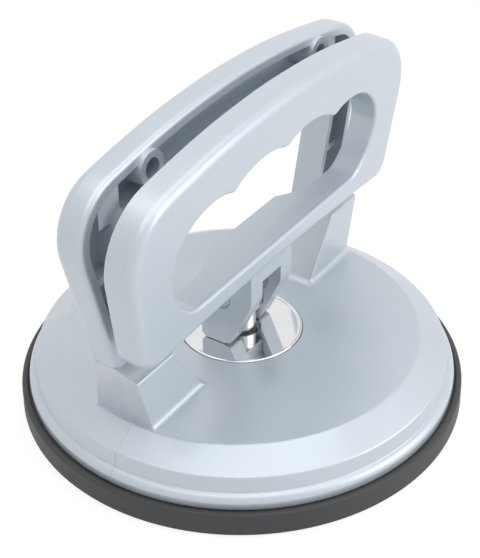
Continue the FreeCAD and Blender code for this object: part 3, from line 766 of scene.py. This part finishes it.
@dataclass
class ArchFeet(Piece):
    """Feet of the arch with their sloping ledges and the fillets round their roots."""

    NAME: ClassVar[str] = "arch_feet"
    BODY: ClassVar[Body] = Body.BASE
    NODE: ClassVar[str] = "base_casting"
    FINISH: ClassVar[Finish] = SILVER_PAINT

    front: float = -5.65
    back: float = 11.3
    root: float = 17.0
    ledge: float = 37.4
    plate: float = 18.4
    leg_inner: float = 25.4
    leg_outer: float = 46.6
    proud: float = 0.05
    inner_slope: float = 0.6705
    outer_slope: float = 0.252
    back_slope: float = 0.256
    edge_round: float = 0.7
    fillet: float = 1.5
    fillet_steps: int = 6
    outer_spread: float = 0.15
    skirt: float = 2.4

    def build(self, bm: BMesh) -> None:
        """Draws one foot, adds its root fillet and mirrors both.

        Args:
            bm: empty mesh to draw in.
        """
        thicken(bm, draw_face(bm, [
            (self.leg_inner - self.proud, self.root, 0), (self.leg_outer + self.proud, self.root, 0),
            (51.79, self.ledge, 0), (37.87, self.ledge, 0), (37.15, 34.6, 0),
        ], Plane.FRONT, self.front), Vector((0, self.back - self.front, 0)))
        slice_flat(bm, Vector((0, 0, self.ledge)), Vector((0, -2.4, 5.65)))
        slice_flat(bm, Vector((0, 8.2, 30.5)), Vector((0, 12.1, 3.1)))
        bmesh.ops.recalc_face_normals(bm, faces=bm.faces[:])
        round_edges(bm, lambda edge: max(vert.co.y for vert in edge.verts) < self.front + CLOSE
                    and max(vert.co.z for vert in edge.verts) > self.plate, self.edge_round, 4)
        self._add_root(bm)
        bmesh.ops.mirror(bm, geom=bm.verts[:] + bm.edges[:] + bm.faces[:], axis="X", merge_dist=0)
        bmesh.ops.recalc_face_normals(bm, faces=bm.faces[:])

    def _add_root(self, bm: BMesh) -> None:
        """Adds a skirt that runs from the foot's walls out on to the plate.

        Args:
            bm: mesh of one foot.
        """
        rise = self.plate + self.fillet
        inner = self.leg_inner + self.inner_slope * (rise - self.root)
        outer = self.leg_outer + self.outer_slope * (rise - self.root)
        behind = self.back - self.back_slope * self.fillet
        known = set(bm.faces)
        verts = [bm.verts.new(Plane.FLOOR.point(across, up, rise)) for across, up in (
            (inner, self.front), (outer, self.front), (outer, behind), (inner, behind))]
        face = bm.faces.new(verts)
        for vert in verts:
            bmesh.ops.bevel(bm, geom=[vert], offset=self.edge_round, offset_type="OFFSET", segments=5,
                            profile=0.5, affect="VERTICES", material=-1)
        face = next(item for item in bm.faces if item not in known)
        rim = face.edges[:]
        bmesh.ops.delete(bm, geom=[face], context="FACES_ONLY")
        middle = Vector(((inner + outer) / 2, (self.front + behind) / 2, 0))
        before = (0.0, self.fillet)
        for step in range(1, self.fillet_steps + 2):
            turn = min(1.0, step / self.fillet_steps) * math.pi / 2
            out, high = self.fillet * (1 - math.cos(turn)), self.fillet * (1 - math.sin(turn))
            high -= self.skirt if step > self.fillet_steps else 0
            made = bmesh.ops.extrude_edge_only(bm, edges=rim)["geom"]
            rim = [item for item in made if isinstance(item, BMEdge)]
            for vert in (item for item in made if isinstance(item, BMVert)):
                beyond = vert.co.x > middle.x
                side = self.outer_spread if beyond else -1.0
                slope = self.outer_slope if beyond else self.inner_slope
                vert.co.x += side * (out - before[0]) - slope * (before[1] - high)
                vert.co.y += math.copysign(out - before[0], vert.co.y - middle.y)
                vert.co.z += high - before[1]
            before = (out, high)
        bmesh.ops.holes_fill(bm, edges=[edge for edge in bm.edges if edge.is_boundary], sides=0)


@dataclass
class LeverFrame(Piece):
    """Leaning grip frame of the lever: hollow behind, with a scalloped hand window."""

    NAME: ClassVar[str] = "lever_frame"
    BODY: ClassVar[Body] = Body.LEVER
    NODE: ClassVar[str] = "lever_casting"
    FINISH: ClassVar[Finish] = SILVER_PAINT
    EDGE: ClassVar[float] = 0.5

    lean: float = 3.5
    stand: float = 9.4
    depth: float = 7.6
    wall: float = 3.0
    front_wall: float = 2.6
    crown: float = 91.2
    crown_radius: float = 233.0
    crown_reach: float = 46.0
    corner_radius: float = 16.4
    foot: tuple[float, float] = (55.5, 42.0)
    foot_radius: float = 6.0
    top: tuple[float, float] = (62.9, 82.55)
    bar_low: float = 44.0
    bar_bow: tuple[float, float] = (27.8, 520.0)
    bar_top: float = 50.2
    cusps: tuple[tuple[float, float], ...] = ((0.0, 76.5), (22.4, 75.0))
    cusp_round: float = 1.2
    lobes: tuple[Corner, Corner] = ((11.6, 81.64, 21.2), (31.56, 78.87, 16.6))
    window_side: tuple[Corner, ...] = ((40.1, 73.8, 12.0), (45.9, 68.5, 10.0), (45.5, 57.5, 14.5))
    window_foot: tuple[float, float] = (37.6, 6.5)
    window_half: float = 47.0
    window_high: float = 82.0
    window_middle: float = 62.0
    hollow_floor: float = 52.0
    front_round: float = 2.5
    window_round: float = 1.7
    shelf_front: float = 1.75
    shelf_side: tuple[float, float] = (36.2, 7.45)
    shelf_sweep: Corner = (22.0, 7.7, 22.0)
    shelf_back: Corner = (15.6, 12.0, 1.0)
    shelf_low: float = 44.6
    shelf_proud: float = 0.03

    def build(self, bm: BMesh) -> None:
        """Draws half of the frame, hollows it, mirrors it, rounds its edges and leans it.

        Args:
            bm: empty mesh to draw in.
        """
        bow_half, bow_radius = self.bar_bow
        window_foot_half, window_foot_radius = self.window_foot
        outer = crowned(self.crown, self.crown_radius, self.crown_reach)
        corner = shoulder(self.crown, self.crown_radius, self.crown_reach, self.foot, self.top,
                          self.corner_radius)
        thicken(bm, draw_face(bm, [
            (0, self.bar_low, 0), (bow_half, self.bar_low, bow_radius), (*self.foot, self.foot_radius),
            corner, *reversed(outer), (0, self.crown, 0), (*self.cusps[0], 0), self.lobes[0],
            (*self.cusps[1], 0), self.lobes[1], *self.window_side,
            (window_foot_half, self.bar_top, window_foot_radius), (0, self.bar_top, 0),
        ], Plane.FRONT, steps=10), Vector((0, self.depth, 0)))
        open_middle(bm)
        self._hollow(bm)
        mirror_halves(bm)
        round_edges(bm, self._at_cusp, self.cusp_round, 4)
        round_edges(bm, lambda edge: self._on_front(edge, outside=True), self.front_round, 6)
        round_edges(bm, lambda edge: self._on_front(edge, outside=False), self.window_round, 5)
        self._add_shelf(bm)
        bmesh.ops.rotate(bm, cent=(0, 0, 0), matrix=Matrix.Rotation(math.radians(self.lean), 3, "X"),
                         verts=bm.verts[:])
        bmesh.ops.translate(bm, verts=bm.verts[:], vec=(0, -self.stand, 0))

    def _hollow(self, bm: BMesh) -> None:
        """Sinks the hollow in the side that faces the arch.

        Args:
            bm: mesh of half of the frame.
        """
        flat = [face for face in bm.faces if all(vert.co.y > self.depth - CLOSE for vert in face.verts)]
        back = max(flat, key=lambda face: face.calc_area())
        bmesh.ops.bisect_plane(bm, geom=[back, *back.edges, *back.verts], dist=HAIR,
                               plane_co=(0, 0, self.hollow_floor), plane_no=(0, 0, 1))
        flat = [face for face in bm.faces if all(vert.co.y > self.depth - CLOSE for vert in face.verts)]
        upper = max(flat, key=lambda face: face.calc_center_median().z)
        sink(bm, upper, self.wall, self.hollow_floor + self.wall,
             Vector((0, self.front_wall - self.depth, 0)))

    def _add_shelf(self, bm: BMesh) -> None:
        """Adds the shelf that widens the bar behind, over the fork.

        Args:
            bm: mesh of the whole frame.
        """
        shelf = bmesh.new()
        thicken(shelf, draw_face(shelf, [
            (0, self.shelf_front, 0), (self.shelf_side[0], self.shelf_front, 0), (*self.shelf_side, 0),
            self.shelf_sweep, self.shelf_back, (0, self.shelf_back[1], 0),
        ], Plane.FLOOR, self.shelf_low, steps=8),
            Vector((0, 0, self.bar_top + self.shelf_proud - self.shelf_low)))
        mirror_halves(shelf)
        merge(bm, shelf)

    def _at_cusp(self, edge: BMEdge) -> bool:
        """Tests an edge for the tips between the scallops.

        Args:
            edge: edge to test.

        Returns:
            Whether it runs through the frame at such a tip.
        """
        first, second = (vert.co for vert in edge.verts)
        if abs(first.x - second.x) > CLOSE or abs(first.z - second.z) > CLOSE:
            return False
        return any(math.hypot(abs(first.x) - across, first.z - up) < 0.1 for across, up in self.cusps)

    def _on_front(self, edge: BMEdge, outside: bool) -> bool:
        """True for an edge of the front face.

        Args:
            edge: edge to test.
            outside: True for the frame's outline, False for its window.

        Returns:
            Whether the edge is of that kind.
        """
        if max(vert.co.y for vert in edge.verts) > CLOSE:
            return False
        side = [face for face in edge.link_faces if abs(face.normal.y) < 0.5]
        middle = (edge.verts[0].co + edge.verts[1].co) / 2
        if not side:
            return False
        near = abs(middle.x) < self.window_half and self.bar_top - 1 < middle.z < self.window_high
        return (near and self._inward(side[0], middle)) != outside

    def _inward(self, face: BMFace, middle: Vector) -> bool:
        """True if a side face looks into the window."""
        return face.normal.dot(middle - Vector((0, middle.y, self.window_middle))) < 0


@dataclass
class LeverFork(Piece):
    """Fork under the lever's bar, with the cam heels that bear on the wear dish."""

    NAME: ClassVar[str] = "lever_fork"
    BODY: ClassVar[Body] = Body.LEVER
    NODE: ClassVar[str] = "lever_casting"
    FINISH: ClassVar[Finish] = SILVER_PAINT
    EDGE: ClassVar[float] = 0.35

    half: float = 9.5
    slot_half: float = 4.35
    slot_top: float = 38.6
    top: float = 46.0
    heel: float = 18.5
    pin_height: float = 32.5
    pin_radius: float = 3.05
    pin_depth: float = 0.6

    def build(self, bm: BMesh) -> None:
        """Draws one tine, joins it to the middle above the slot and mirrors it.

        Args:
            bm: empty mesh to draw in.
        """
        face = draw_face(bm, [
            (-9.6, self.top, 0), (-9.6, 33.6, 6.0), (-2.9, self.heel + 0.7, 1.0), (-0.7, self.heel, 0.8),
            (5.1, self.heel, 0), (6.1, self.heel + 1.0, 0.8), (6.1, 32.5, 3.0), (-0.8, self.top, 0),
        ], Plane.SIDE, self.slot_half, steps=6)
        thicken(bm, face, Vector((self.half - self.slot_half, 0, 0)))
        self._open_pin_hole(bm)
        bmesh.ops.bisect_plane(bm, geom=bm.verts[:] + bm.edges[:] + bm.faces[:], dist=HAIR,
                               plane_co=(0, 0, self.slot_top), plane_no=(0, 0, 1))
        inner = [face for face in bm.faces if face.calc_center_median().z > self.slot_top
                 and all(vert.co.x < self.slot_half + CLOSE for vert in face.verts)]
        made = bmesh.ops.extrude_discrete_faces(bm, faces=inner)
        bmesh.ops.translate(bm, verts=made["faces"][0].verts[:], vec=(-self.slot_half, 0, 0))
        mirror_halves(bm)

    def _open_pin_hole(self, bm: BMesh) -> None:
        """Opens the end of the pin's hole in the tine's outer side.

        Args:
            bm: mesh of one tine.
        """
        side = next(face for face in bm.faces if all(vert.co.x > self.half - CLOSE for vert in face.verts))
        rim = side.edges[:]
        bmesh.ops.delete(bm, geom=[side], context="FACES_ONLY")
        place = Matrix.Translation((self.half, 0, self.pin_height)) @ Matrix.Rotation(math.pi / 2, 4, "Y")
        made = bmesh.ops.create_circle(bm, cap_ends=False, radius=self.pin_radius, segments=36, matrix=place)
        hole = list({edge for vert in made["verts"] for edge in vert.link_edges})
        bmesh.ops.triangle_fill(bm, use_beauty=True, edges=rim + hole)
        sunk = bmesh.ops.extrude_edge_only(bm, edges=hole)["geom"]
        bmesh.ops.translate(bm, verts=[item for item in sunk if isinstance(item, BMVert)],
                            vec=(-self.pin_depth, 0, 0))
        bmesh.ops.holes_fill(bm, edges=[item for item in sunk if isinstance(item, BMEdge)], sides=0)
        bmesh.ops.recalc_face_normals(bm, faces=bm.faces[:])


@dataclass
class WearDish(Piece):
    """Polished ring that the cam heels bear on, with a bead round its rim."""

    NAME: ClassVar[str] = "polished_ring"
    BODY: ClassVar[Body] = Body.BASE
    NODE: ClassVar[str] = "wear_dish"
    FINISH: ClassVar[Finish] = MIRROR_CHROME

    radius: float = 16.5
    bore: float = 5.2
    floor: float = 16.4
    face: float = 18.3
    bead: float = 18.65
    bead_width: float = 0.9

    def build(self, bm: BMesh) -> None:
        """Draws the turned ring.

        Args:
            bm: empty mesh to draw in.
        """
        turned(bm, [
            (self.bore, self.floor, 0), (self.radius, self.floor, 0), (self.radius, self.bead, 0.4),
            (self.radius - self.bead_width, self.bead, 0.4), (self.radius - 1.1, self.face, 0.2),
            (self.bore, self.face, 0.3),
        ])


@dataclass
class SuctionPad(Piece):
    """Rubber rim of the cup with its lip and thin web."""

    NAME: ClassVar[str] = "pad_rim"
    BODY: ClassVar[Body] = Body.BASE
    NODE: ClassVar[str] = "suction_pad"
    FINISH: ClassVar[Finish] = MOULDED_RUBBER

    foot: float = 60.0
    top: float = 59.8
    lip: float = 6.7
    seat: float = 6.2
    skirt: float = 52.2
    split: float = 36.8

    def build(self, bm: BMesh) -> None:
        """Draws the turned rim.

        Args:
            bm: empty mesh to draw in.
        """
        turned(bm, [
            (50.0, 0, 0.4), (self.foot - 0.5, 0, 0.5), (self.foot, 0.7, 0.4), (self.top, self.lip, 0.8),
            (self.top - 1.4, self.lip, 0.4), (58.0, self.seat, 0), (self.skirt, self.seat, 0),
            (self.split, 5.2, 0.3), (self.split, 2.4, 0.3), (44.0, 2.1, 0.5),
        ], 180)


@dataclass
class InnerWorks:
    """Parts of the frame that keep their own shape and only get a finish."""

    finishes: tuple[tuple[str, Finish], ...] = (
        ("draw_stud", ZINC_PLATE), ("pull_plate", ZINC_PLATE), ("stud_washer", ZINC_PLATE),
        ("plate_nut", ZINC_PLATE), ("spring_seat", ZINC_PLATE), ("pivot_pin", ZINC_PLATE),
        ("return_spring", DRAWN_WIRE), ("pad_centre", MOULDED_RUBBER),
    )

    def dress(self) -> None:
        """Gives each of the parts its finish."""
        for name, finish in self.finishes:
            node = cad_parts[name]
            for place in node.material_slots:
                place.material = finish.material()
            log.info("%s: keeps its shape, %s", name, finish.slot.value)


@dataclass(frozen=True)
class Softbox:
    """A square soft lamp that looks at the object.

    Attributes:
        name: name of the lamp.
        place: where it hangs, in metres.
        size: width of its square, in metres.
        power: power in watts.
    """

    name: str
    place: tuple[float, float, float]
    size: float
    power: float


@dataclass
class Studio:
    """Plain pale floor, soft light and the camera at the photograph's angle.

    Angles are in degrees and the lens in millimetres; places and sizes are in metres.
    """

    azimuth: float = -55.8250255
    elevation: float = 34.632712
    distance: float = 0.326216776
    aside: float = -0.000219995
    height: float = 0.0332317836
    roll: float = -0.605885
    lens: float = 80.11
    sky: float = 0.58
    softboxes: tuple[Softbox, ...] = (
        Softbox("overhead_softbox", (-0.05, -0.04, 0.5), 0.55, 1.05),
        Softbox("front_softbox", (0.2, -0.6, 0.32), 0.5, 1.7),
    )
    look_at: float = 0.04
    floor_half: float = 3.0
    floor_drop: float = 0.0001
    floor_tone: float = 0.9
    floor_glow: float = 1.12
    glow_share: float = 0.75

    def build(self) -> None:
        """Makes the camera, world, lamps and floor."""
        self._add_camera()
        self._add_world()
        for softbox in self.softboxes:
            self._add_lamp(softbox)
        self._add_floor()
        bpy.context.scene.view_settings.view_transform = "Standard"

    def _add_camera(self) -> None:
        """Places the camera."""
        turn, rise, roll = (math.radians(angle) for angle in (self.azimuth, self.elevation, self.roll))
        back = Vector((math.sin(turn) * math.cos(rise), -math.cos(turn) * math.cos(rise), math.sin(rise)))
        right = Vector((math.cos(turn), math.sin(turn), 0))
        up = back.cross(right)
        across = math.cos(roll) * right + math.sin(roll) * up
        high = -math.sin(roll) * right + math.cos(roll) * up
        place = back * self.distance + right * self.aside + Vector((0, 0, self.height))
        data = bpy.data.cameras.new("camera")
        data.lens = self.lens
        data.sensor_width = 36
        data.clip_start = 0.01
        camera = bpy.data.objects.new("camera", data)
        camera.matrix_world = Matrix.Translation(place) @ Matrix((across, high, back)).transposed().to_4x4()
        bpy.context.scene.collection.objects.link(camera)
        bpy.context.scene.camera = camera

    def _white_to_viewer(self, tree: bpy.types.NodeTree) -> bpy.types.NodeSocket:
        """Picks the rays that see plain white: those of the camera, of gloss and of glass.

        Args:
            tree: tree to put the nodes in.

        Returns:
            The socket that is one for those rays and zero for the others.
        """
        path = tree.nodes.new("ShaderNodeLightPath")
        share = path.outputs["Is Camera Ray"]
        for name in ("Is Glossy Ray", "Is Transmission Ray"):
            node = tree.nodes.new("ShaderNodeMath")
            node.operation = "MAXIMUM"
            tree.links.new(share, node.inputs[0])
            tree.links.new(path.outputs[name], node.inputs[1])
            share = node.outputs[0]
        return share

    def _add_world(self) -> None:
        """Makes a white world that lights the object at a plain level."""
        world = bpy.data.worlds.new("studio")
        bpy.context.scene.world = world
        world.use_nodes = True
        tree = world.node_tree
        sky = tree.nodes["Background"]
        sky.inputs["Color"].default_value = (1, 1, 1, 1)
        strength = tree.nodes.new("ShaderNodeMapRange")
        strength.inputs["To Min"].default_value = self.sky
        strength.inputs["To Max"].default_value = 1.0
        tree.links.new(self._white_to_viewer(tree), strength.inputs["Value"])
        tree.links.new(strength.outputs["Result"], sky.inputs["Strength"])

    def _add_lamp(self, softbox: Softbox) -> None:
        """Adds a lamp that looks at the object.

        Args:
            softbox: the lamp's name, place, size and power.
        """
        data = bpy.data.lights.new(softbox.name, "AREA")
        data.size = softbox.size
        data.energy = softbox.power
        lamp = bpy.data.objects.new(softbox.name, data)
        lamp.location = softbox.place
        aim = Vector((0, 0, self.look_at)) - lamp.location
        lamp.rotation_euler = aim.to_track_quat("-Z", "Y").to_euler()
        bpy.context.scene.collection.objects.link(lamp)

    def _add_floor(self) -> None:
        """Adds a pale floor whose shadow stays while the rest of it shows white."""
        bm = bmesh.new()
        bmesh.ops.create_grid(bm, x_segments=1, y_segments=1, size=self.floor_half)
        mesh = bpy.data.meshes.new("floor")
        bm.to_mesh(mesh)
        bm.free()
        material = bpy.data.materials.new("pale_floor")
        material.use_nodes = True
        tree = material.node_tree
        shader = tree.nodes["Principled BSDF"]
        shader.inputs["Base Color"].default_value = (self.floor_tone, self.floor_tone, self.floor_tone, 1)
        shader.inputs["Roughness"].default_value = 0.9
        shader.inputs["Specular IOR Level"].default_value = 0.0
        glow = tree.nodes.new("ShaderNodeEmission")
        glow.inputs["Strength"].default_value = self.floor_glow
        mix = tree.nodes.new("ShaderNodeMixShader")
        share = tree.nodes.new("ShaderNodeMapRange")
        share.inputs["To Max"].default_value = self.glow_share
        tree.links.new(self._white_to_viewer(tree), share.inputs["Value"])
        tree.links.new(share.outputs["Result"], mix.inputs["Fac"])
        tree.links.new(shader.outputs["BSDF"], mix.inputs[1])
        tree.links.new(glow.outputs["Emission"], mix.inputs[2])
        tree.links.new(mix.outputs["Shader"], tree.nodes["Material Output"].inputs["Surface"])
        mesh.materials.append(material)
        floor = bpy.data.objects.new("floor", mesh)
        floor.location.z = -self.floor_drop
        bpy.context.scene.collection.objects.link(floor)


def main() -> None:
    """Builds the model piece by piece, then its studio."""
    logging.basicConfig(level=logging.INFO, format="%(message)s")
    for piece in (BasePlate(), GripArch(), ArchFeet(), LeverFrame(), LeverFork(), WearDish(), SuctionPad()):
        piece.make()
    InnerWorks().dress()
    Studio().build()


if __name__ == "__main__":
    main()
